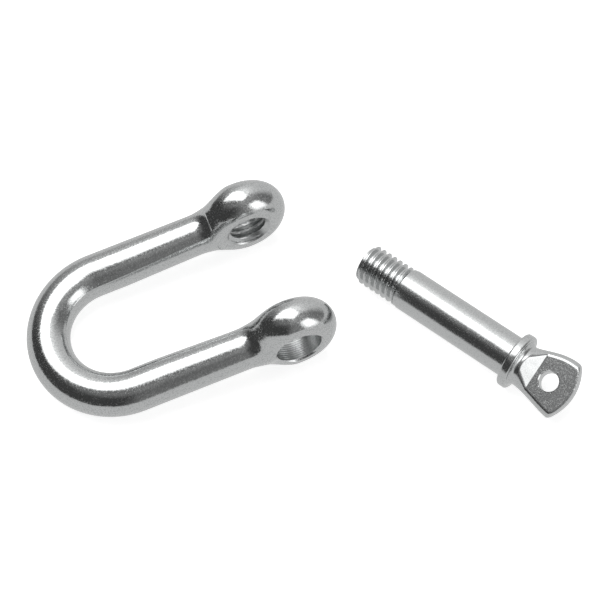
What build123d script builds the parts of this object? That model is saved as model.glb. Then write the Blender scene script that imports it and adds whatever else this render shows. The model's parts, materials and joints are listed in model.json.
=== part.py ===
"""A stainless dee shackle for 8 mm rigging: a forged U-shaped body and its loose screw pin.

The shackle lies open on its side, with the pin drawn out and lying beside the eyes. Lengths are in millimetres.
+X runs along the legs from the crown to the eyes, +Y along the bores from the plain eye to the tapped eye, and
+Z up. The origin is at the middle of the bottom of both pieces' common box.
"""
from build123d import *
from math import asin, atan2, cos, degrees, radians, sin
import os

os.makedirs("parts", exist_ok=True)

# Driving dimensions of the body
bar_diameter = 8.0
leg_spacing = 25.0            # between the centre lines of the two legs
crown_to_bore = 29.7          # from the centre of the crown's bend to the bore axis
eye_radius = 8.3
eye_thickness = 7.5
eye_offset = 0.6              # how far each eye is set outward of its leg
eye_rim_radius = 3.3          # rounding between an eye's rim and its faces
neck_length = 8.6             # from the round bar to the bore axis
flank_end = 4.5               # where the neck's straight flank meets the eye, before the bore axis
flank_height = 6.9            # half the neck's height there
flank_width = 3.7             # half the neck's width there
plain_bore_radius = 4.3
plain_bore_chamfer = 0.3
tapped_bore_radius = 3.4      # the wall left by the tapping drill, at the thread's minor diameter
tapped_bore_chamfer = 0.9

# Driving dimensions of the pin
shank_radius = 4.0
thread_crest_radius = 3.87
thread_pitch = 1.25
thread_turns = 6
thread_end_chamfer = 0.7
thread_runout = 0.35          # from the last ridge to the full shank
pin_grip_length = 33.5        # from the thread's end to the collar
collar_radius = 5.4
collar_thickness = 1.75
collar_edge_radius = 0.45
neck_radius = 4.0
head_length = 11.3            # from the collar to the far end of the head
head_corner_radius = 5.72     # from the pin's axis to the head's two corners
head_corner_distance = 9.5    # from the collar to those corners
bell_slope = 0.1              # how fast the bell still widens at those corners
tab_thickness = 3.2
tab_start = 3.6               # from the collar to where the flat faces begin
ramp_start = 1.0              # from the collar to where the ramps to the flats begin
head_hole_radius = 1.85
head_hole_distance = 6.4      # from the collar to the hole's centre

# Where the loose pin lies
pin_heading = -59.5           # degrees about +Z from +X, thread end to head
pin_roll = 24.0               # degrees that the tab is turned about the pin's own axis
pin_end_from_bore = 18.9      # along +X from the bore axis to the thread's end
pin_end_aside = -2.4          # along +Y from the middle plane of the body to the thread's end

# Derived sizes
bar_radius = bar_diameter / 2
half_spacing = leg_spacing / 2
body_tilt = degrees(asin((eye_radius - bar_radius) / (crown_to_bore + half_spacing)))
thread_depth = 0.6134 * thread_pitch    # the depth of an ISO metric external thread
crest_flat = thread_pitch / 8
root_flat = thread_pitch / 4
ridge_flank = (thread_pitch - crest_flat - root_flat) / 2
thread_root_radius = thread_crest_radius - thread_depth
thread_length = thread_end_chamfer + thread_turns * thread_pitch
collar_contact = pin_grip_length + collar_edge_radius
pin_tilt = degrees(
    atan2(collar_radius - thread_crest_radius, collar_contact - thread_end_chamfer)
)
pin_end_height = thread_crest_radius * cos(radians(pin_tilt)) - thread_end_chamfer * sin(radians(pin_tilt))
collar_end = pin_grip_length + collar_thickness
head_end = collar_end + head_length
corner_station = collar_end + head_corner_distance
half_tab = tab_thickness / 2


def frame_along(origin, direction):
    """A plane whose X runs along the direction, with its Y level."""
    level = Vector(0, 0, 1).cross(direction).normalized()
    return Plane(origin=origin, x_dir=direction, z_dir=direction.cross(level))


# The body's own frame: X along the legs, Y along the bores, its origin at the centre of the crown's bend
leg_direction = Vector(cos(radians(body_tilt)), 0, sin(radians(body_tilt)))
crown_height = bar_radius + half_spacing * sin(radians(body_tilt))
body_frame = frame_along(Vector(0, 0, crown_height), leg_direction)

# The pin's own frame: X along its axis from the thread's end to the head
pin_direction = Vector(
    cos(radians(pin_heading)) * cos(radians(pin_tilt)),
    sin(radians(pin_heading)) * cos(radians(pin_tilt)),
    sin(radians(pin_tilt)),
)
bore_station = body_frame.from_local_coords((crown_to_bore, 0, 0))
bore_axis = Axis(bore_station, body_frame.y_dir)
pin_end = Vector(bore_station.X + pin_end_from_bore, pin_end_aside, pin_end_height)
pin_frame = frame_along(pin_end, pin_direction)
pin_axis = Axis(pin_end, pin_direction)
tab_frame = Plane(pin_end, x_dir=pin_direction, z_dir=pin_frame.z_dir.rotate(pin_axis, pin_roll))
tab_side_plane = Plane(tab_frame.origin, x_dir=tab_frame.x_dir, z_dir=-tab_frame.y_dir)


def eye_outline(side):
    """Half an eye's section, on the side away from the crown, to be turned about the bore axis."""
    middle = side * (half_spacing + eye_offset)
    with BuildSketch(body_frame) as outline:
        with Locations((crown_to_bore + eye_radius / 2, middle)):
            Rectangle(eye_radius, eye_thickness)
        rim = outline.vertices().group_by(Axis.X)[-1]
        fillet(rim, eye_rim_radius)
    return outline.sketch


def bore_outline(side, radius, chamfer_size):
    """Half the section of an eye's bore with both its mouths chamfered."""
    middle = side * (half_spacing + eye_offset)
    half = eye_thickness / 2
    mouth = radius + chamfer_size
    with BuildSketch(body_frame) as outline:
        with BuildLine():
            Polyline(
                (crown_to_bore, middle - half),
                (crown_to_bore + mouth, middle - half),
                (crown_to_bore + radius, middle - half + chamfer_size),
                (crown_to_bore + radius, middle + half - chamfer_size),
                (crown_to_bore + mouth, middle + half),
                (crown_to_bore, middle + half),
                close=True,
            )
        make_face()
    return outline.sketch


def neck_sections(side):
    """The sections that flare a round leg into its eye, with straight flanks between them."""
    leg_end = (neck_length, bar_radius, bar_radius, 0)
    eye_flank = (flank_end, flank_height, flank_width, eye_offset)
    sections = []
    for before_bore, half_height, half_width, set_out in (leg_end, eye_flank):
        centre = (crown_to_bore - before_bore, side * (half_spacing + set_out), 0)
        plane = Plane(
            origin=body_frame.from_local_coords(centre),
            x_dir=body_frame.y_dir,
            z_dir=body_frame.x_dir,
        )
        with BuildSketch(plane) as section:
            Ellipse(half_width, half_height)
        sections.append(section.sketch)
    return sections


sides = (1, -1)               # the tapped eye's side, then the plain eye's
necks = [neck_sections(side) for side in sides]
eyes = [eye_outline(side) for side in sides]
bores = [
    bore_outline(1, tapped_bore_radius, tapped_bore_chamfer),
    bore_outline(-1, plain_bore_radius, plain_bore_chamfer),
]

# Body: a bent round bar, a neck and an eye at the end of each leg, and the two bores
with BuildPart() as shackle_body:
    with BuildLine(body_frame) as centre_line:
        tapped_leg = Line((crown_to_bore - neck_length, half_spacing), (0, half_spacing))
        crown = ThreePointArc((0, half_spacing), (-half_spacing, 0), (0, -half_spacing))
        plain_leg = Line((0, -half_spacing), (crown_to_bore - neck_length, -half_spacing))
    start_plane = Plane(centre_line.line @ 0, z_dir=centre_line.line % 0)
    with BuildSketch(start_plane) as bar_section:
        Circle(bar_radius)
    sweep(path=centre_line.line)
    for neck, eye in zip(necks, eyes):
        loft(sections=neck)
        revolve(eye, axis=bore_axis)
    for bore in bores:
        revolve(bore, axis=bore_axis, mode=Mode.SUBTRACT)


def thread_points():
    """The ridges of the thread in half section, from the chamfered end to the run-out."""
    points = [(0, 0), (0, thread_root_radius), (thread_end_chamfer, thread_crest_radius)]
    for turn in range(thread_turns):
        start = thread_end_chamfer + turn * thread_pitch
        root_start = start + crest_flat + ridge_flank
        points.append((start + crest_flat, thread_crest_radius))
        points.append((root_start, thread_root_radius))
        points.append((root_start + root_flat, thread_root_radius))
        points.append((start + thread_pitch, thread_crest_radius))
    return points


# Head of the pin: a belled end, turned about the axis and flattened on two sides to a tab
with BuildPart() as head:
    with BuildSketch(tab_frame) as head_half:
        with BuildLine():
            Line((pin_grip_length, 0), (head_end, 0))
            TangentArc((head_end, 0), (corner_station, head_corner_radius), tangent=(0, 1))
            Spline(
                (corner_station, head_corner_radius),
                (collar_end + ramp_start, neck_radius),
                tangents=((-1, -bell_slope), (-1, 0)),
            )
            Line((collar_end + ramp_start, neck_radius), (pin_grip_length, neck_radius))
            Line((pin_grip_length, neck_radius), (pin_grip_length, 0))
        make_face()
    revolve(axis=pin_axis)
    with BuildSketch(tab_side_plane) as side_view:
        with BuildLine():
            Polyline(
                (pin_grip_length, -collar_radius),
                (collar_end + ramp_start, -neck_radius),
                (collar_end + tab_start, -half_tab),
                (head_end, -half_tab),
                (head_end, half_tab),
                (collar_end + tab_start, half_tab),
                (collar_end + ramp_start, neck_radius),
                (pin_grip_length, collar_radius),
                close=True,
            )
        make_face()
    extrude(amount=head_length, both=True, mode=Mode.INTERSECT)

# Pin: a turned and threaded shank, its collar, the head, and the hole through the tab
with BuildPart() as screw_pin:
    with BuildSketch(pin_frame) as shank_half:
        with BuildLine():
            Polyline(
                *thread_points(),
                (thread_length + thread_runout, shank_radius),
                (pin_grip_length, shank_radius),
                (pin_grip_length, 0),
                close=True,
            )
        make_face()
    revolve(axis=pin_axis)
    with BuildSketch(pin_frame) as collar_half:
        with Locations((pin_grip_length + collar_thickness / 2, collar_radius / 2)):
            Rectangle(collar_thickness, collar_radius)
        fillet(collar_half.vertices().group_by(Axis.Y)[-1], collar_edge_radius)
    revolve(axis=pin_axis)
    add(head.part)
    with BuildSketch(tab_frame) as head_hole:
        with Locations((collar_end + head_hole_distance, 0)):
            Circle(head_hole_radius)
    extrude(amount=tab_thickness, both=True, mode=Mode.SUBTRACT)

# Both pieces are moved together, so that the origin is at the middle of the bottom of their common box
common_box = shackle_body.part.bounding_box().add(screw_pin.part.bounding_box())
to_origin = Pos(-common_box.center().X, -common_box.center().Y, -common_box.min.Z)
body_piece = to_origin * shackle_body.part
pin_piece = to_origin * screw_pin.part

body_piece.label = "shackle_body"
export_step(body_piece, "parts/shackle_body.step")

pin_piece.label = "screw_pin"
export_step(pin_piece, "parts/screw_pin.step")
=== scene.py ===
"""Looks of the dee shackle and its screw pin: polished forged steel on a pale studio floor.

Both pieces are meshed here from distance functions and turned profiles, in millimetres and in each piece's
own frame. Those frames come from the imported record's mounts and joint, so each piece lies where its CAD solid
lies.
"""

import json
from math import cos, pi, radians, sin

import bmesh
import bpy
import numpy as np
from mathutils import Matrix, Vector


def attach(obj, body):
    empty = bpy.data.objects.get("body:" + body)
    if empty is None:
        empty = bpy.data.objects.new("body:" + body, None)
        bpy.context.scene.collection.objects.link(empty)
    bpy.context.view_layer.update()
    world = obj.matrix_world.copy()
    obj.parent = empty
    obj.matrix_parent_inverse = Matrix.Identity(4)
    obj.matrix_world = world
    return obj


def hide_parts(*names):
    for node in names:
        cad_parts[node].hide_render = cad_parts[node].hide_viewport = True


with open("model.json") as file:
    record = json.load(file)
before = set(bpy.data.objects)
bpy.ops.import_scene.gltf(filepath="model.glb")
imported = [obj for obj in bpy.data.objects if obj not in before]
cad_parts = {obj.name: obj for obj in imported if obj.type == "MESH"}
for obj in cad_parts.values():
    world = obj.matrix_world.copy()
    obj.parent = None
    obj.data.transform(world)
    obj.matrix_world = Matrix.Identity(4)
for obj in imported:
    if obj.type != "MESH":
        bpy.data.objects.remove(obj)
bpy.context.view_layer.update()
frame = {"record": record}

MM = 0.001

# The forged body, in millimetres
BAR_RADIUS = 4.0
HALF_SPACING = 12.5           # from the middle plane to a leg's centre line
BORE_STATION = 29.7           # from the centre of the crown's bend to the bore axis
EYE_RADIUS = 8.3
EYE_THICKNESS = 7.5
EYE_OFFSET = 0.6              # how far an eye is set outward of its leg
NECK_LENGTH = 6.5             # from the end of the round leg to the bore axis
NECK_BLEND = 0.9              # softness of the hollow where a leg meets its neck
LEG_RELIEF = 0.48             # how much thinner a leg gets on its inner side towards the eye
RELIEF_START = 5.0            # from the centre of the crown's bend
RELIEF_LENGTH = 14.0
JOGGLE_LENGTH = 7.0           # the stretch over which a leg moves out to its eye's middle
FACE_EDGE = 0.35              # softness of the edge between an eye's outer face and its rim
NECK_CROWNING = 0.045         # how fast a neck's outer side rounds away above and below its middle
CROWNING_REACH = 2.0          # the height from the middle about which this levels off
CROWNING_SPAN = (1.0, 5.0)    # from the bore axis: where the crowning starts, and where it is full
FACING_STOCK = 0.2            # left on an eye's inner face for the facing cutter
FACING_RADIUS = 6.5
FACING_DEPTH = 2.0
BODY_GRID = 0.25
BODY_MARGIN = 1.0             # between the body and the edge of its grid

# Marks left on the forging by its dies. Angles are in degrees from the top of the bar towards the inside of
# the U. The seam's course is given by distances along the bar from the crown's middle and the angle there.
SEAM_COURSE = ((-43, 35), (-20, 43), (0, 66), (20, 61), (43, 48))
SEAM_END = 23.0
SEAM_FADE = 2.0
CREASE_STATION = 23.2
CREASE_OUTER = (-10, 0)       # the angles over which the crease fades in from the outside of the leg
CREASE_INNER = (55, 45)       # and from its inside
RIDGE_FOOT = 0.4              # half the width of the raised steel along the seam and the crease
RIDGE_RISE = 0.02             # and its height
CREST_WIDTH = 0.18            # half the width of the sharper crest on that steel

# The bores
PLAIN_BORE_RADIUS = 4.3
PLAIN_BORE_CHAMFER = 0.3
DRILLED_EDGE = 0.1            # how far beyond the plain bore's wall the drilled finish fades out
TOOL_MARK = 0.012             # depth of the rings that the drill leaves in the plain bore
TOOL_PITCH = 0.42
TAPPED_MINOR_RADIUS = 3.4
TAPPED_MAJOR_RADIUS = 4.06
TAPPED_CHAMFER = 0.9
CUTTER_STEP = 0.05
CUTTER_REACH = 1.5            # how far a bore's cutter reaches past the eye's faces

# The screw pin
SHANK_RADIUS = 4.0
CREST_RADIUS = 3.87
PITCH = 1.25
THREAD_DEPTH = 0.72
THREAD_TURNS = 6.2
THREAD_STEP = 0.04
CREST_END = 1 / 16            # from a ridge's middle to its crest's edge and its root's, in pitches
ROOT_START = 3 / 8
END_CHAMFER = 0.7
THREAD_END = END_CHAMFER + THREAD_TURNS * PITCH
RUN_OUT_LENGTH = 1.2
RUN_OUT_SLOPE = 1.2
PAST_RUN_OUT = 0.1            # how far past the run-out the close rings go
SHANK_STEP = 0.8
GRIP_LENGTH = 33.5
COLLAR_RADIUS = 5.4
COLLAR_THICKNESS = 1.75
COLLAR_EDGE = 0.45
COLLAR_EDGE_RINGS = 7
COLLAR_END = GRIP_LENGTH + COLLAR_THICKNESS
SHANK_SINK = 0.6              # how far the shank goes into the collar
HEAD_START = 0.4              # from the collar's near face to where the head begins inside it
NECK_RADIUS = 4.0
NECK_FILLET = 0.8             # radius of the hollow between the head's neck and the collar
HEAD_LENGTH = 11.3
CORNER_RADIUS = 5.72
CORNER_DISTANCE = 9.5
CORNER_SOFTNESS = 0.5         # of the tab's two corners
BELL_POWER = 1.3              # a higher power keeps the neck narrow for longer
TAB_THICKNESS = 3.2
TAB_START = 3.6
RAMP_START = 1.0
SIDE_EASE = 0.25              # how much the radius of the tab's sides is more than half its thickness
HEAD_BOW = 0.3                # how far the pressed tab bulges to one side, half way along it
HEAD_EDGE = 0.13              # softness of the edges round the tab's flat faces
HEAD_GRID = 0.16
HEAD_MARGIN = 0.5             # between the head and the edge of its grid
HOLE_RADIUS = 1.85
HOLE_DISTANCE = 6.4
HOLE_CHAMFER = 0.15
HOLE_REACH = 1.0              # how far the hole's cutter reaches past the tab's faces
HOLE_SEGMENTS = 96

# Meshing
SEGMENTS = 144
GRADIENT_REACH = 0.01
LEAST_SLOPE = 0.05            # the smallest squared slope that settling divides by
RELAX_ROUNDS = 3
SHARP_ANGLE = 28

# Steel. Scales are in grains or dents to the metre, and depths in metres.
STEEL_COLOUR = (0.59, 0.60, 0.60)
PIT_COLOUR = (0.48, 0.49, 0.49)
PIT_LEVEL = 0.35              # the noise's level at the pits' middles
STEEL_LEVEL = 0.55            # and from where the steel has no pits
BODY_ROUGHNESS = 0.13
PIN_ROUGHNESS = 0.18
DRILLED_ROUGHNESS = 0.32
BODY_GRAIN = 1.0              # strength of the grain on each piece
PIN_GRAIN = 0.62
GRAIN_SCALE = 3300.0
GRAIN_DEPTH = 0.000008
ROUGHEST_GRAIN = 0.17         # added to the roughness at the roughest grains
ROUGHENING_LEVELS = (0.5, 0.7)  # the noise's levels between which the steel gets rougher
DENT_SCALE = 300.0
DENT_DEPTH = 0.00003
NOISE_DETAIL = 1.0
CREST_HEIGHT = 0.00002

# The studio as the steel mirrors it. Azimuths are in degrees from +Y towards +X. Each pair of degrees runs
# from where a light has faded out to where it has its full radiance.
DARK_SIDES = 0.07
BACK_WALL = 0.68
BACK_WALL_LEFT = (-50, 28)
BACK_WALL_RIGHT = (105, 60)
BACK_TOP = 0.6
BACK_TOP_ELEVATION = (15, 60)
BACK_TOP_LEFT = (-60, 0)
BACK_TOP_RIGHT = (80, 10)
FRONT_AZIMUTH = 143           # the middle of the front wall and of the strip light before it
FRONT_WALL = 0.2
FRONT_WALL_SIDES = (62, 30)   # from the front's azimuth
STRIP = 2.0
STRIP_SIDES = (22, 8)
STRIP_TOP = (48, 34)
STRIP_FOOT = (-20, 20)
CEILING = 0.17
CEILING_ELEVATION = (38, 62)
TOP_RADIANCE = 2.0
# The softbox overhead, as its corners lie on a ceiling that is one high, in X and Y
TOP_CORNERS = ((0.1, -0.31), (0.37, 0.02), (0.15, 0.8), (-0.15, 1.05), (-0.72, 0.72), (-0.8, 0.52))
TOP_FADE = 0.06
LEAST_HEIGHT = 0.05           # below it a direction misses the softbox overhead

# Stage and camera, in metres and degrees
STAGE_CENTRE = Vector((0, 0, 0.006))
SURROUND_RADIUS = 1.6
SURROUND_SEGMENTS = 240
SURROUND_RINGS = 120
FLOOR_SIZE = 3.0
FLOOR_COLOUR = (0.9, 0.9, 0.9)
FLOOR_ROUGHNESS = 0.8
FLOOR_GLOW = 0.7
FLOOR_IN_REFLECTIONS = 0.72
FLOOR_GAP = 0.0002            # between the floor and the one that only reflections see
LAMP_AZIMUTH = -20
LAMP_ELEVATION = 68
LAMP_DISTANCE = 0.9
LAMP_WIDTH = 0.9
LAMP_HEIGHT = 0.8
WORLD_COLOUR = (0.3, 0.3, 0.3)
VIEW_TARGET = Vector((0.0040, 0.0076, 0.005))
VIEW_AZIMUTH = 201.2          # where the camera stands, as seen from the object
VIEW_ELEVATION = 62.2
VIEW_DISTANCE = 0.3696
VIEW_ANGLE = 17.03
SENSOR_WIDTH = 36             # millimetres
NEAREST_SEEN = 0.01


def mount(name):
    """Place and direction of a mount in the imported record, in metres."""
    for entry in frame["record"]["mounts"]:
        if entry["name"] == name:
            return Vector(entry["pos_m"]), Vector(entry["axis"]).normalized()
    raise ValueError(name)


def local_frame(origin, along, normal):
    """Matrix from a piece's own millimetres to the row's metres: X along, Z near the normal."""
    x_axis = along.normalized()
    y_axis = normal.cross(x_axis).normalized()
    z_axis = x_axis.cross(y_axis)
    turn = Matrix((x_axis, y_axis, z_axis)).transposed().to_4x4()
    return Matrix.Translation(origin) @ turn @ Matrix.Scale(MM, 4)


def body_place():
    """The body's frame: its origin is the centre of the crown's bend, X along the legs, Y along the bores."""
    leg_direction = mount("crown_saddle")[1]
    bore_middle = (mount("plain_eye")[0] + mount("tapped_eye")[0]) / 2
    origin = bore_middle - leg_direction * BORE_STATION * MM
    return local_frame(origin, leg_direction, Vector((0, 0, 1)))


def pin_place():
    """The pin's frame: its origin is the thread's end, X along its axis to the head, Z out of the tab."""
    joint = next(entry for entry in frame["record"]["behaviour"]["joints"] if entry["name"] == "pin_turn")
    return local_frame(Vector(joint["pos_m"]), Vector(joint["axis"]), mount("head_hole")[1])


def smooth_max(first, second, softness):
    """The larger of two distances, rounded where they are within the softness of each other."""
    overlap = np.maximum(softness - np.abs(first - second), 0) / softness
    return np.maximum(first, second) + overlap ** 2 * softness / 4


def smooth_min(first, second, softness):
    """The smaller of two distances, rounded in the same way."""
    return -smooth_max(-first, -second, softness)


def smooth_step(value):
    """A value held between nought and one, with a level start and end."""
    value = np.clip(value, 0, 1)
    return value * value * (3 - 2 * value)


def ramp(value, start, end):
    """Smooth change from nought at the start to one at the end, which may lie either way."""
    return smooth_step((value - start) / (end - start))


def leg_relief(x):
    """How far a leg's inner side stands back from the round bar's, at a station along it."""
    return LEG_RELIEF * np.clip((x - RELIEF_START) / RELIEF_LENGTH, 0, 1)


def leg_middle(x):
    """Distance of a leg's middle from the middle plane, which grows towards the eye."""
    leg_end = BORE_STATION - NECK_LENGTH
    joggle = (EYE_OFFSET - LEG_RELIEF / 2) * smooth_step((x - leg_end) / JOGGLE_LENGTH + 0.5)
    return HALF_SPACING + leg_relief(x) / 2 + joggle


def bar_distance(points):
    """Distance to the bent round bar, whose legs thin down and move outward towards their eyes."""
    x, y, z = points.T
    half_width = BAR_RADIUS - leg_relief(x) / 2
    across = (np.hypot(np.minimum(x, 0), y) - leg_middle(x)) * BAR_RADIUS / half_width
    beyond = np.maximum(x - BORE_STATION + NECK_LENGTH, 0)
    return np.sqrt(across ** 2 + z ** 2 + beyond ** 2) - BAR_RADIUS


def teardrop_distance(back, z, eye_core):
    """Distance in the plane of an eye to a disc on the bore axis that tapers to a point at the leg's end."""
    z = np.abs(z)
    slope = eye_core / NECK_LENGTH
    rise = (1 - slope * slope) ** 0.5
    along = back * rise - z * slope
    disc = np.hypot(back, z) - eye_core
    point = np.hypot(back - NECK_LENGTH, z)
    flank = z * rise + back * slope - eye_core
    return np.where(along < 0, disc, np.where(along > NECK_LENGTH * rise, point, flank))


def eye_distance(points):
    """Distance to both eyes and their necks: a rounded teardrop, flat outside, with stock left inside."""
    x, y, z = points.T
    out = np.abs(y) - leg_middle(x)
    crowning = NECK_CROWNING * z ** 2 / (1 + (z / CROWNING_REACH) ** 2)
    crowning = crowning * ramp(BORE_STATION - x, *CROWNING_SPAN)
    out = np.where(out > 0, out * (1 + crowning), out)
    flat = teardrop_distance(BORE_STATION - x, z, EYE_RADIUS - BAR_RADIUS)
    rounded = np.hypot(np.maximum(flat, 0), out) - BAR_RADIUS
    half = EYE_THICKNESS / 2
    return smooth_max(rounded, np.maximum(out - half, -out - half - FACING_STOCK), FACE_EDGE)


def body_distance(points):
    """Distance to the whole forging before its eyes are faced and bored."""
    return smooth_min(bar_distance(points), eye_distance(points), NECK_BLEND)


def gradient(distance, points):
    """Slope of a distance function at each point, from a small step each way along each axis."""
    steps = []
    for axis in range(3):
        shift = np.zeros(3)
        shift[axis] = GRADIENT_REACH
        steps.append((distance(points + shift) - distance(points - shift)) / (2 * GRADIENT_REACH))
    return np.stack(steps, axis=1)


def settle(distance, points, rounds):
    """Move points onto the distance function's zero surface."""
    for _ in range(rounds):
        slope = gradient(distance, points)
        size = np.maximum((slope ** 2).sum(axis=1), LEAST_SLOPE)
        points = points - slope * (distance(points) / size)[:, None]
    return points


def new_mesh_object(name, points, faces):
    """A smooth-shaded mesh object from points in its own frame."""
    mesh = bpy.data.meshes.new(name)
    mesh.from_pydata(np.asarray(points).tolist(), [], [list(map(int, face)) for face in faces])
    mesh.validate()
    mesh.shade_smooth()
    piece = bpy.data.objects.new(name, mesh)
    bpy.context.scene.collection.objects.link(piece)
    return piece


def surface_quads(inside, cell_index):
    """One quad round each grid edge that crosses the surface, joining the four cells about that edge."""
    quads = []
    for axis in range(3):
        first, second = [other for other in range(3) if other != axis]
        near = np.take(inside, range(inside.shape[axis] - 1), axis=axis)
        far = np.take(inside, range(1, inside.shape[axis]), axis=axis)
        for entering in (False, True):
            edges = np.argwhere((near != far) & (near == entering))
            ring = []
            for a, b in ((-1, -1), (0, -1), (0, 0), (-1, 0)):
                cell = edges.copy()
                cell[:, first] += a
                cell[:, second] += b
                ring.append(cell_index[tuple(cell.T)])
            if entering == (axis == 1):
                ring.reverse()
            quads.append(np.stack(ring, axis=1))
    return np.concatenate(quads)


def relax(points, quads):
    """Move each point half way to the middle of its quads."""
    middles = points[quads].mean(axis=1)
    total = np.zeros_like(points)
    count = np.zeros(len(points))
    for corner in range(4):
        np.add.at(total, quads[:, corner], middles)
        np.add.at(count, quads[:, corner], 1)
    return (points + total / count[:, None]) / 2


def implicit_mesh(name, distance, low, high, step):
    """A closed mesh on a distance function's zero surface, with one point in each grid cell it crosses."""
    counts = np.ceil((np.array(high) - low) / step).astype(int) + 1
    grid = np.stack(np.meshgrid(*[np.arange(n) for n in counts], indexing="ij"), axis=-1)
    points = grid.reshape(-1, 3) * step + low
    inside = (distance(points) < 0).reshape(counts)
    corners = np.zeros(counts - 1, dtype=int)
    for dx, dy, dz in np.ndindex(2, 2, 2):
        corners += inside[dx:counts[0] - 1 + dx, dy:counts[1] - 1 + dy, dz:counts[2] - 1 + dz]
    crossed = (corners > 0) & (corners < 8)
    cell_index = np.full(crossed.shape, -1)
    cell_index[crossed] = np.arange(crossed.sum())
    points = (np.argwhere(crossed) + 0.5) * step + low
    quads = surface_quads(inside, cell_index)
    for _ in range(RELAX_ROUNDS):
        points = relax(settle(distance, points, rounds=2), quads)
    points = settle(distance, points, rounds=3)
    return new_mesh_object(name, points, quads)


def turned_mesh(name, stations, radius_at, segments=SEGMENTS):
    """A closed solid of revolution about X. The radius may change round the axis, as it does on a thread."""
    stations = np.asarray(stations, dtype=float)
    angles = np.arange(segments) * 2 * pi / segments
    station_grid, angle_grid = np.meshgrid(stations, angles, indexing="ij")
    radius = radius_at(station_grid, angle_grid)
    rings = np.stack([station_grid, radius * np.cos(angle_grid), radius * np.sin(angle_grid)], axis=-1)
    points = rings.reshape(-1, 3).tolist()
    faces = []
    for row in range(len(stations) - 1):
        for column in range(segments):
            after = (column + 1) % segments
            here, there = row * segments, (row + 1) * segments
            faces.append((here + column, here + after, there + after, there + column))
    for row, order in ((0, -1), (len(stations) - 1, 1)):
        centre = len(points)
        points.append([stations[row], 0.0, 0.0])
        for column in range(segments):
            pair = [row * segments + column, row * segments + (column + 1) % segments]
            faces.append((*pair[::order], centre))
    return new_mesh_object(name, points, faces)


def thread_wave(stations, angles, root, crest):
    """Radius of a right-hand thread with the flat crests and roots of an ISO metric one."""
    phase = (stations / PITCH - angles / (2 * pi)) % 1
    from_middle = np.abs(phase - 0.5)
    height = np.clip((ROOT_START - from_middle) / (ROOT_START - CREST_END), 0, 1)
    return root + (crest - root) * height


def combine(piece, other, operation):
    """Join or cut one solid with another, which is used up."""
    modifier = piece.modifiers.new("combine", "BOOLEAN")
    modifier.operation = operation
    modifier.object = other
    modifier.solver = "MANIFOLD"
    with bpy.context.temp_override(object=piece, active_object=piece, selected_objects=[piece]):
        bpy.ops.object.modifier_apply(modifier=modifier.name)
    bpy.data.objects.remove(other, do_unlink=True)


def place(piece, matrix):
    """Write a piece's place into its mesh, with hard edges only where its surfaces meet sharply."""
    piece.data.transform(matrix)
    piece.data.materials.clear()
    piece.data.set_sharp_from_angle(angle=radians(SHARP_ANGLE))


def bore_cutter(name, side, minor, chamfer, major=None):
    """A turned cutter through one eye, with both mouths chamfered and, if tapped, a thread between them."""
    half = EYE_THICKNESS / 2
    stations = [-half - CUTTER_REACH]
    stations += list(np.arange(-half, half + 0.5 * CUTTER_STEP, CUTTER_STEP))
    stations.append(half + CUTTER_REACH)

    def radius_at(station, angle):
        from_face = half - np.abs(station)
        mouth = minor + np.clip(chamfer - from_face, 0, chamfer + CUTTER_REACH)
        if major is None:
            return mouth + TOOL_MARK * np.sin(2 * pi * station / TOOL_PITCH)
        return np.maximum(mouth, thread_wave(station, angle, minor, major))

    cutter = turned_mesh(name, stations, radius_at)
    centre = Vector((BORE_STATION, side * (HALF_SPACING + EYE_OFFSET), 0))
    cutter.data.transform(Matrix.Translation(centre) @ Matrix.Rotation(pi / 2, 4, "Z"))
    return cutter


def facing_cutter(side):
    """A round cutter that faces an eye's inner side flat, and steps into the bar that stands proud of it."""
    face = HALF_SPACING + EYE_OFFSET - EYE_THICKNESS / 2
    stations = (face - FACING_DEPTH, face)
    cutter = turned_mesh("facing", stations, lambda station, angle: np.full_like(station, FACING_RADIUS))
    centre = Matrix.Translation((BORE_STATION, 0, 0))
    cutter.data.transform(centre @ Matrix.Rotation(side * pi / 2, 4, "Z"))
    return cutter


def write_attribute(mesh, name, values):
    """Store one number at each point of a mesh."""
    attribute = mesh.attributes.new(name, "FLOAT", "POINT")
    attribute.data.foreach_set("value", values)


def raise_mark(mesh, name, distance, strength):
    """Raise a low ridge along a mark, and store the distance from it, in millimetres, and its strength."""
    write_attribute(mesh, name, distance)
    write_attribute(mesh, name + "_strength", strength)
    points = np.array([vertex.co for vertex in mesh.vertices])
    normals = np.array([vertex.normal for vertex in mesh.vertices])
    lift = RIDGE_RISE * strength * ramp(np.abs(distance), RIDGE_FOOT, 0)
    mesh.vertices.foreach_set("co", (points + normals * lift[:, None]).ravel())
    mesh.update()


def mark_body(body):
    """Raise the seam inside the U and the crease at the tapped leg's neck, and mark the drilled wall."""
    points = np.array([vertex.co for vertex in body.data.vertices])
    x, y, z = points.T
    out = np.hypot(np.minimum(x, 0), y) - leg_middle(x)
    inward = np.degrees(np.arctan2(-out, z))
    on_leg = np.sign(y) * (x + HALF_SPACING * pi / 2)
    station = np.where(x > 0, on_leg, np.arctan2(y, -x) * HALF_SPACING)
    seam_stations, seam_angles = zip(*SEAM_COURSE)
    seam = np.radians(inward - np.interp(station, seam_stations, seam_angles)) * BAR_RADIUS
    raise_mark(body.data, "seam", seam, ramp(x, SEAM_END, SEAM_END - SEAM_FADE))
    on_top = ramp(inward, *CREASE_OUTER) * ramp(inward, *CREASE_INNER)
    raise_mark(body.data, "crease", x - CREASE_STATION, on_top * (y > 0))
    from_bore = np.hypot(x - BORE_STATION, z)
    drilled = ramp(from_bore, PLAIN_BORE_RADIUS + DRILLED_EDGE, PLAIN_BORE_RADIUS)
    write_attribute(body.data, "drilled", drilled)


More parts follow.
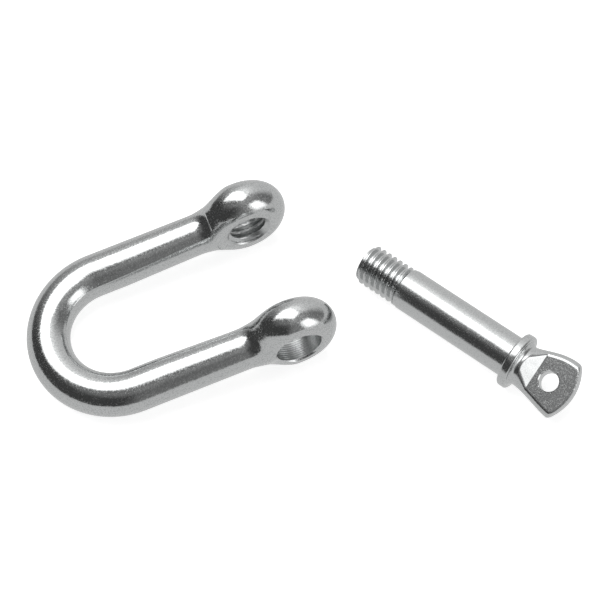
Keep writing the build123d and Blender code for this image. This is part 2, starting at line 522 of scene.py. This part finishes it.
def make_body():
    """The forged body: meshed from its distance function, then faced, bored, tapped and given its marks."""
    reach = HALF_SPACING + BAR_RADIUS + 2 * BODY_MARGIN
    height = EYE_RADIUS + BODY_MARGIN
    low = (-reach, -reach, -height)
    high = (BORE_STATION + height, reach, height)
    body = implicit_mesh("forged_body", body_distance, low, high, BODY_GRID)
    for side in (1, -1):
        combine(body, facing_cutter(side), "DIFFERENCE")
    plain = bore_cutter("plain_bore", -1, PLAIN_BORE_RADIUS, PLAIN_BORE_CHAMFER)
    combine(body, plain, "DIFFERENCE")
    tapped = bore_cutter("tapped_bore", 1, TAPPED_MINOR_RADIUS, TAPPED_CHAMFER, TAPPED_MAJOR_RADIUS)
    combine(body, tapped, "DIFFERENCE")
    mark_body(body)
    place(body, body_place())
    return body


def shank_radius_at(station, angle):
    """The shank's radius: a chamfered threaded end that runs out into the plain shank."""
    root = CREST_RADIUS - THREAD_DEPTH
    threaded = thread_wave(station, angle, root, CREST_RADIUS)
    run_out = root + np.maximum(station - THREAD_END, 0) * RUN_OUT_SLOPE
    radius = np.maximum(threaded, np.minimum(run_out, SHANK_RADIUS))
    chamfered = CREST_RADIUS - np.maximum(END_CHAMFER - station, 0)
    plain = station > THREAD_END + RUN_OUT_LENGTH
    return np.where(plain, SHANK_RADIUS, np.minimum(radius, chamfered))


def make_shank():
    """The threaded and plain shank, with close rings as far as the thread has run out."""
    thread_stop = THREAD_END + RUN_OUT_LENGTH + PAST_RUN_OUT
    stations = np.concatenate([
        np.arange(0, thread_stop, THREAD_STEP),
        np.arange(thread_stop, GRIP_LENGTH, SHANK_STEP),
        [GRIP_LENGTH + SHANK_SINK],
    ])
    return turned_mesh("shank", stations, shank_radius_at)


def collar_radius_at(station, angle):
    """The collar's radius, with both its rims rounded."""
    from_face = np.minimum(station - GRIP_LENGTH, COLLAR_END - station)
    sunk = np.clip(COLLAR_EDGE - from_face, 0, COLLAR_EDGE)
    return COLLAR_RADIUS - COLLAR_EDGE + np.sqrt(COLLAR_EDGE ** 2 - sunk ** 2)


def make_collar():
    """The collar, with close rings at its rounded rims."""
    turn = np.linspace(0, pi / 2, COLLAR_EDGE_RINGS)
    rise = COLLAR_EDGE * (1 - np.cos(turn))
    stations = np.concatenate([GRIP_LENGTH + rise, COLLAR_END - rise[::-1]])
    return turned_mesh("collar", stations, collar_radius_at)


def head_distance(points):
    """Distance to the head: a round neck pressed to a flat tab with rounded sides and a domed end."""
    station, y, z = points.T
    from_collar = station - COLLAR_END
    share = np.clip((from_collar - RAMP_START) / (CORNER_DISTANCE - RAMP_START), 0, 1)
    half_width = NECK_RADIUS + (CORNER_RADIUS - NECK_RADIUS) * np.sin(share * pi / 2) ** BELL_POWER
    slope = (NECK_RADIUS - TAB_THICKNESS / 2) / (TAB_START - RAMP_START)
    rise = slope * np.maximum(TAB_START - from_collar, 0)
    fillet = NECK_FILLET * (1 - np.clip(from_collar / NECK_FILLET, 0, 1)) ** 2
    rounding = np.minimum(TAB_THICKNESS / 2 + rise + SIDE_EASE, NECK_RADIUS) + fillet
    across = np.abs(y - HEAD_BOW * np.sin(share * pi)) - half_width - fillet + rounding
    sides = np.where(across > 0, np.hypot(across, z), np.abs(z)) - rounding
    dome_drop = (HEAD_LENGTH - CORNER_DISTANCE) * (np.hypot(y, z) / CORNER_RADIUS) ** 2
    outline = smooth_max(sides, from_collar - HEAD_LENGTH + dome_drop, CORNER_SOFTNESS)
    flat = np.abs(z) - TAB_THICKNESS / 2
    pressed = np.where(rise > 0, (flat - rise) / (1 + slope ** 2) ** 0.5, flat)
    return np.maximum(smooth_max(outline, pressed, HEAD_EDGE), GRIP_LENGTH + HEAD_START - station)


def hole_radius_at(station, angle):
    """The radius of the tab's hole, with both its mouths chamfered."""
    from_face = TAB_THICKNESS / 2 - np.abs(station)
    return HOLE_RADIUS + np.clip(HOLE_CHAMFER - from_face, 0, HOLE_CHAMFER)


def hole_cutter():
    """A turned cutter through the tab."""
    half = TAB_THICKNESS / 2
    near_side = (-half - HOLE_REACH, -half, HOLE_CHAMFER - half)
    far_side = (half - HOLE_CHAMFER, half, half + HOLE_REACH)
    cutter = turned_mesh("head_hole", near_side + far_side, hole_radius_at, HOLE_SEGMENTS)
    centre = Vector((COLLAR_END + HOLE_DISTANCE, 0, 0))
    cutter.data.transform(Matrix.Translation(centre) @ Matrix.Rotation(pi / 2, 4, "Y"))
    return cutter


def make_head():
    """The flattened head, with the hole through its tab."""
    reach = CORNER_RADIUS + HEAD_MARGIN
    low = (GRIP_LENGTH, -reach, -reach)
    high = (COLLAR_END + HEAD_LENGTH + HEAD_MARGIN, reach, reach)
    head = implicit_mesh("head", head_distance, low, high, HEAD_GRID)
    combine(head, hole_cutter(), "DIFFERENCE")
    return head


def make_pin():
    """The whole pin as one solid: shank, collar and head."""
    pin = make_shank()
    combine(pin, make_collar(), "UNION")
    combine(pin, make_head(), "UNION")
    pin.name = "turned_pin"
    place(pin, pin_place())
    return pin


def attribute_level(nodes, name):
    """The number that a mesh stores at each point under this name."""
    attribute = nodes.new("ShaderNodeAttribute")
    attribute.attribute_name = name
    return attribute.outputs["Fac"]


def noise_bump(nodes, links, scale, depth):
    """A bump of soft noise, for the grain or the dents of a steel surface. Gives the noise and the bump."""
    place_node = nodes.new("ShaderNodeTexCoord")
    noise = nodes.new("ShaderNodeTexNoise")
    noise.inputs["Scale"].default_value = scale
    noise.inputs["Detail"].default_value = NOISE_DETAIL
    links.new(place_node.outputs["Object"], noise.inputs["Vector"])
    bump = nodes.new("ShaderNodeBump")
    bump.inputs["Distance"].default_value = depth
    links.new(noise.outputs["Fac"], bump.inputs["Height"])
    return noise, bump


def ridge_bump(nodes, links, mark):
    """A bump that sharpens a mark's ridge to a crest where the stored distance passes through nought."""
    across = nodes.new("ShaderNodeMapRange")
    across.inputs["From Min"].default_value = -CREST_WIDTH
    across.inputs["From Max"].default_value = CREST_WIDTH
    links.new(attribute_level(nodes, mark), across.inputs["Value"])
    profile = nodes.new("ShaderNodeValToRGB")
    profile.color_ramp.elements[1].color = (0, 0, 0, 1)
    profile.color_ramp.elements.new(0.5).color = (1, 1, 1, 1)
    links.new(across.outputs["Result"], profile.inputs["Fac"])
    bump = nodes.new("ShaderNodeBump")
    bump.inputs["Distance"].default_value = CREST_HEIGHT
    links.new(attribute_level(nodes, mark + "_strength"), bump.inputs["Strength"])
    links.new(profile.outputs["Color"], bump.inputs["Height"])
    return bump


def pitted_colour(nodes, links, noise, grain_strength):
    """The steel's colour, darker where the grain has pits."""
    pit_colour = np.array(STEEL_COLOUR) + (np.array(PIT_COLOUR) - STEEL_COLOUR) * grain_strength
    colour = nodes.new("ShaderNodeValToRGB")
    pit, steel = colour.color_ramp.elements
    pit.position = PIT_LEVEL
    pit.color = (*pit_colour, 1)
    steel.position = STEEL_LEVEL
    steel.color = (*STEEL_COLOUR, 1)
    links.new(noise.outputs["Fac"], colour.inputs["Fac"])
    return colour.outputs["Color"]


def grained_roughness(nodes, links, noise, roughness, grain_strength):
    """The steel's roughness, higher on the drilled wall and at the roughest grains."""
    smoothest = nodes.new("ShaderNodeMapRange")
    smoothest.inputs["To Min"].default_value = roughness
    smoothest.inputs["To Max"].default_value = DRILLED_ROUGHNESS
    links.new(attribute_level(nodes, "drilled"), smoothest.inputs["Value"])
    spread = nodes.new("ShaderNodeMapRange")
    spread.inputs["From Min"].default_value = ROUGHENING_LEVELS[0]
    spread.inputs["From Max"].default_value = ROUGHENING_LEVELS[1]
    spread.inputs["To Max"].default_value = roughness + ROUGHEST_GRAIN * grain_strength
    links.new(smoothest.outputs["Result"], spread.inputs["To Min"])
    links.new(noise.outputs["Fac"], spread.inputs["Value"])
    return spread.outputs["Result"]


def steel_material(name, roughness, grain_strength, marks=()):
    """Polished stainless steel with the fine grain and the shallow dents of a tumbled forging."""
    material = bpy.data.materials.new(name)
    material.use_nodes = True
    nodes, links = material.node_tree.nodes, material.node_tree.links
    shader = nodes["Principled BSDF"]
    shader.inputs["Metallic"].default_value = 1.0
    grain, grain_bump = noise_bump(nodes, links, GRAIN_SCALE, GRAIN_DEPTH * grain_strength)
    dent_bump = noise_bump(nodes, links, DENT_SCALE, DENT_DEPTH)[1]
    bumps = [dent_bump] + [ridge_bump(nodes, links, mark) for mark in marks] + [grain_bump]
    for bump, after in zip(bumps, bumps[1:]):
        links.new(bump.outputs["Normal"], after.inputs["Normal"])
    links.new(grain_bump.outputs["Normal"], shader.inputs["Normal"])
    colour = pitted_colour(nodes, links, grain, grain_strength)
    links.new(colour, shader.inputs["Base Color"])
    roughness_level = grained_roughness(nodes, links, grain, roughness, grain_strength)
    links.new(roughness_level, shader.inputs["Roughness"])
    return material


def floor_material(name, colour, glow):
    """A matt surface of one colour that also glows white."""
    material = bpy.data.materials.new(name)
    material.use_nodes = True
    shader = material.node_tree.nodes["Principled BSDF"]
    shader.inputs["Base Color"].default_value = (*colour, 1)
    shader.inputs["Roughness"].default_value = FLOOR_ROUGHNESS
    shader.inputs["Specular IOR Level"].default_value = 0.0
    shader.inputs["Emission Color"].default_value = (1, 1, 1, 1)
    shader.inputs["Emission Strength"].default_value = glow
    return material


def dress_object():
    """Put the finished meshes in place of the two CAD solids."""
    body_piece = make_body()
    forged_steel = steel_material("forged_steel", BODY_ROUGHNESS, BODY_GRAIN, ("seam", "crease"))
    body_piece.data.materials.append(forged_steel)
    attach(body_piece, "body")
    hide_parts("shackle_body")
    pin_piece = make_pin()
    turned_steel = steel_material("turned_steel", PIN_ROUGHNESS, PIN_GRAIN)
    pin_piece.data.materials.append(turned_steel)
    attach(pin_piece, "pin")
    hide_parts("screw_pin")


def overhead_glow(places):
    """How much of the overhead softbox lies in each direction: its corners are on a ceiling one high."""
    across = places[:, :2] / np.maximum(places[:, 2], LEAST_HEIGHT)[:, None]
    corners = np.array(TOP_CORNERS)
    inside = np.ones(len(places))
    for corner, after in zip(corners, np.roll(corners, -1, axis=0)):
        edge = (after - corner) / np.hypot(*(after - corner))
        from_edge = (across - corner) @ np.array((-edge[1], edge[0]))
        inside = inside * ramp(from_edge, -TOP_FADE, TOP_FADE)
    return inside


def surround_glow(places):
    """Radiance of the studio in each direction: a lit back wall, a strip light in front and dark sides."""
    azimuth = np.degrees(np.arctan2(places[:, 0], places[:, 1]))
    from_front = np.abs((azimuth - FRONT_AZIMUTH + 180) % 360 - 180)
    elevation = np.degrees(np.arcsin(np.clip(places[:, 2], -1, 1)))
    back_wall = BACK_WALL * ramp(azimuth, *BACK_WALL_LEFT) * ramp(azimuth, *BACK_WALL_RIGHT)
    back_top = BACK_TOP * ramp(azimuth, *BACK_TOP_LEFT) * ramp(azimuth, *BACK_TOP_RIGHT)
    back_top = back_top * ramp(elevation, *BACK_TOP_ELEVATION)
    front_wall = FRONT_WALL * ramp(from_front, *FRONT_WALL_SIDES)
    strip = STRIP * ramp(from_front, *STRIP_SIDES)
    strip = strip * ramp(elevation, *STRIP_TOP) * ramp(elevation, *STRIP_FOOT)
    ceiling = CEILING * ramp(elevation, *CEILING_ELEVATION)
    overhead = TOP_RADIANCE * overhead_glow(places)
    return DARK_SIDES + back_wall + back_top + front_wall + strip + ceiling + overhead


def surround_material():
    """A surface that gives off the glow stored at its points."""
    material = bpy.data.materials.new("surround")
    material.use_nodes = True
    nodes, links = material.node_tree.nodes, material.node_tree.links
    nodes.clear()
    emission = nodes.new("ShaderNodeEmission")
    output = nodes.new("ShaderNodeOutputMaterial")
    links.new(attribute_level(nodes, "glow"), emission.inputs["Strength"])
    links.new(emission.outputs["Emission"], output.inputs["Surface"])
    return material


def hide_but_from_reflections(piece):
    """Make a piece of the stage one that only the steel's reflections show."""
    piece.visible_camera = False
    piece.visible_shadow = False
    piece.visible_diffuse = False


def make_surround():
    """A sphere round the stage whose inside glows as the studio does. Only reflections see it."""
    mesh = bpy.data.meshes.new("surround")
    maker = bmesh.new()
    bmesh.ops.create_uvsphere(
        maker, u_segments=SURROUND_SEGMENTS, v_segments=SURROUND_RINGS, radius=SURROUND_RADIUS
    )
    maker.to_mesh(mesh)
    maker.free()
    places = np.array([vertex.co for vertex in mesh.vertices]) / SURROUND_RADIUS
    write_attribute(mesh, "glow", surround_glow(places))
    mesh.materials.append(surround_material())
    surround = bpy.data.objects.new("surround", mesh)
    bpy.context.scene.collection.objects.link(surround)
    surround.location = STAGE_CENTRE
    hide_but_from_reflections(surround)


def direction_to(azimuth, elevation):
    """A direction from the object, its azimuth turned from +Y towards +X."""
    turn, rise = radians(azimuth), radians(elevation)
    return Vector((sin(turn) * cos(rise), cos(turn) * cos(rise), sin(rise)))


def make_lamp():
    """The softbox overhead, which lights the floor. The steel mirrors the surround's softbox instead."""
    light = bpy.data.lights.new("overhead_softbox", "AREA")
    light.shape = "RECTANGLE"
    light.size = LAMP_WIDTH
    light.size_y = LAMP_HEIGHT
    light.energy = TOP_RADIANCE * pi * LAMP_WIDTH * LAMP_HEIGHT
    lamp = bpy.data.objects.new("overhead_softbox", light)
    bpy.context.scene.collection.objects.link(lamp)
    direction = direction_to(LAMP_AZIMUTH, LAMP_ELEVATION)
    lamp.location = STAGE_CENTRE + direction * LAMP_DISTANCE
    lamp.rotation_euler = direction.to_track_quat("Z", "Y").to_euler()
    lamp.visible_glossy = False


def make_floor(name, height, material):
    """A square of floor centred under the object."""
    bpy.ops.mesh.primitive_plane_add(size=FLOOR_SIZE, location=(STAGE_CENTRE.x, STAGE_CENTRE.y, height))
    floor = bpy.context.active_object
    floor.name = name
    floor.data.materials.append(material)
    return floor


def dress_stage():
    """Lay the floor, hang the lamp, and put the glowing surround where only reflections see it."""
    floor = make_floor("floor", 0, floor_material("pale_floor", FLOOR_COLOUR, FLOOR_GLOW))
    floor.visible_glossy = False
    mirrored = floor_material("floor_in_reflections", (0, 0, 0), FLOOR_IN_REFLECTIONS)
    hide_but_from_reflections(make_floor("floor_in_reflections", -FLOOR_GAP, mirrored))
    make_lamp()
    make_surround()
    world = bpy.data.worlds.new("studio")
    world.use_nodes = True
    world.node_tree.nodes["Background"].inputs["Color"].default_value = (*WORLD_COLOUR, 1)
    bpy.context.scene.world = world
    bpy.context.scene.view_settings.view_transform = "Standard"


def set_camera():
    """Put the camera where the photographer's was."""
    camera = bpy.data.cameras.new("camera")
    camera.sensor_width = SENSOR_WIDTH
    camera.angle = radians(VIEW_ANGLE)
    camera.clip_start = NEAREST_SEEN
    holder = bpy.data.objects.new("camera", camera)
    bpy.context.scene.collection.objects.link(holder)
    back = direction_to(VIEW_AZIMUTH, VIEW_ELEVATION)
    holder.location = VIEW_TARGET + back * VIEW_DISTANCE
    holder.rotation_euler = back.to_track_quat("Z", "Y").to_euler()
    bpy.context.scene.camera = holder


dress_object()
dress_stage()
set_camera()
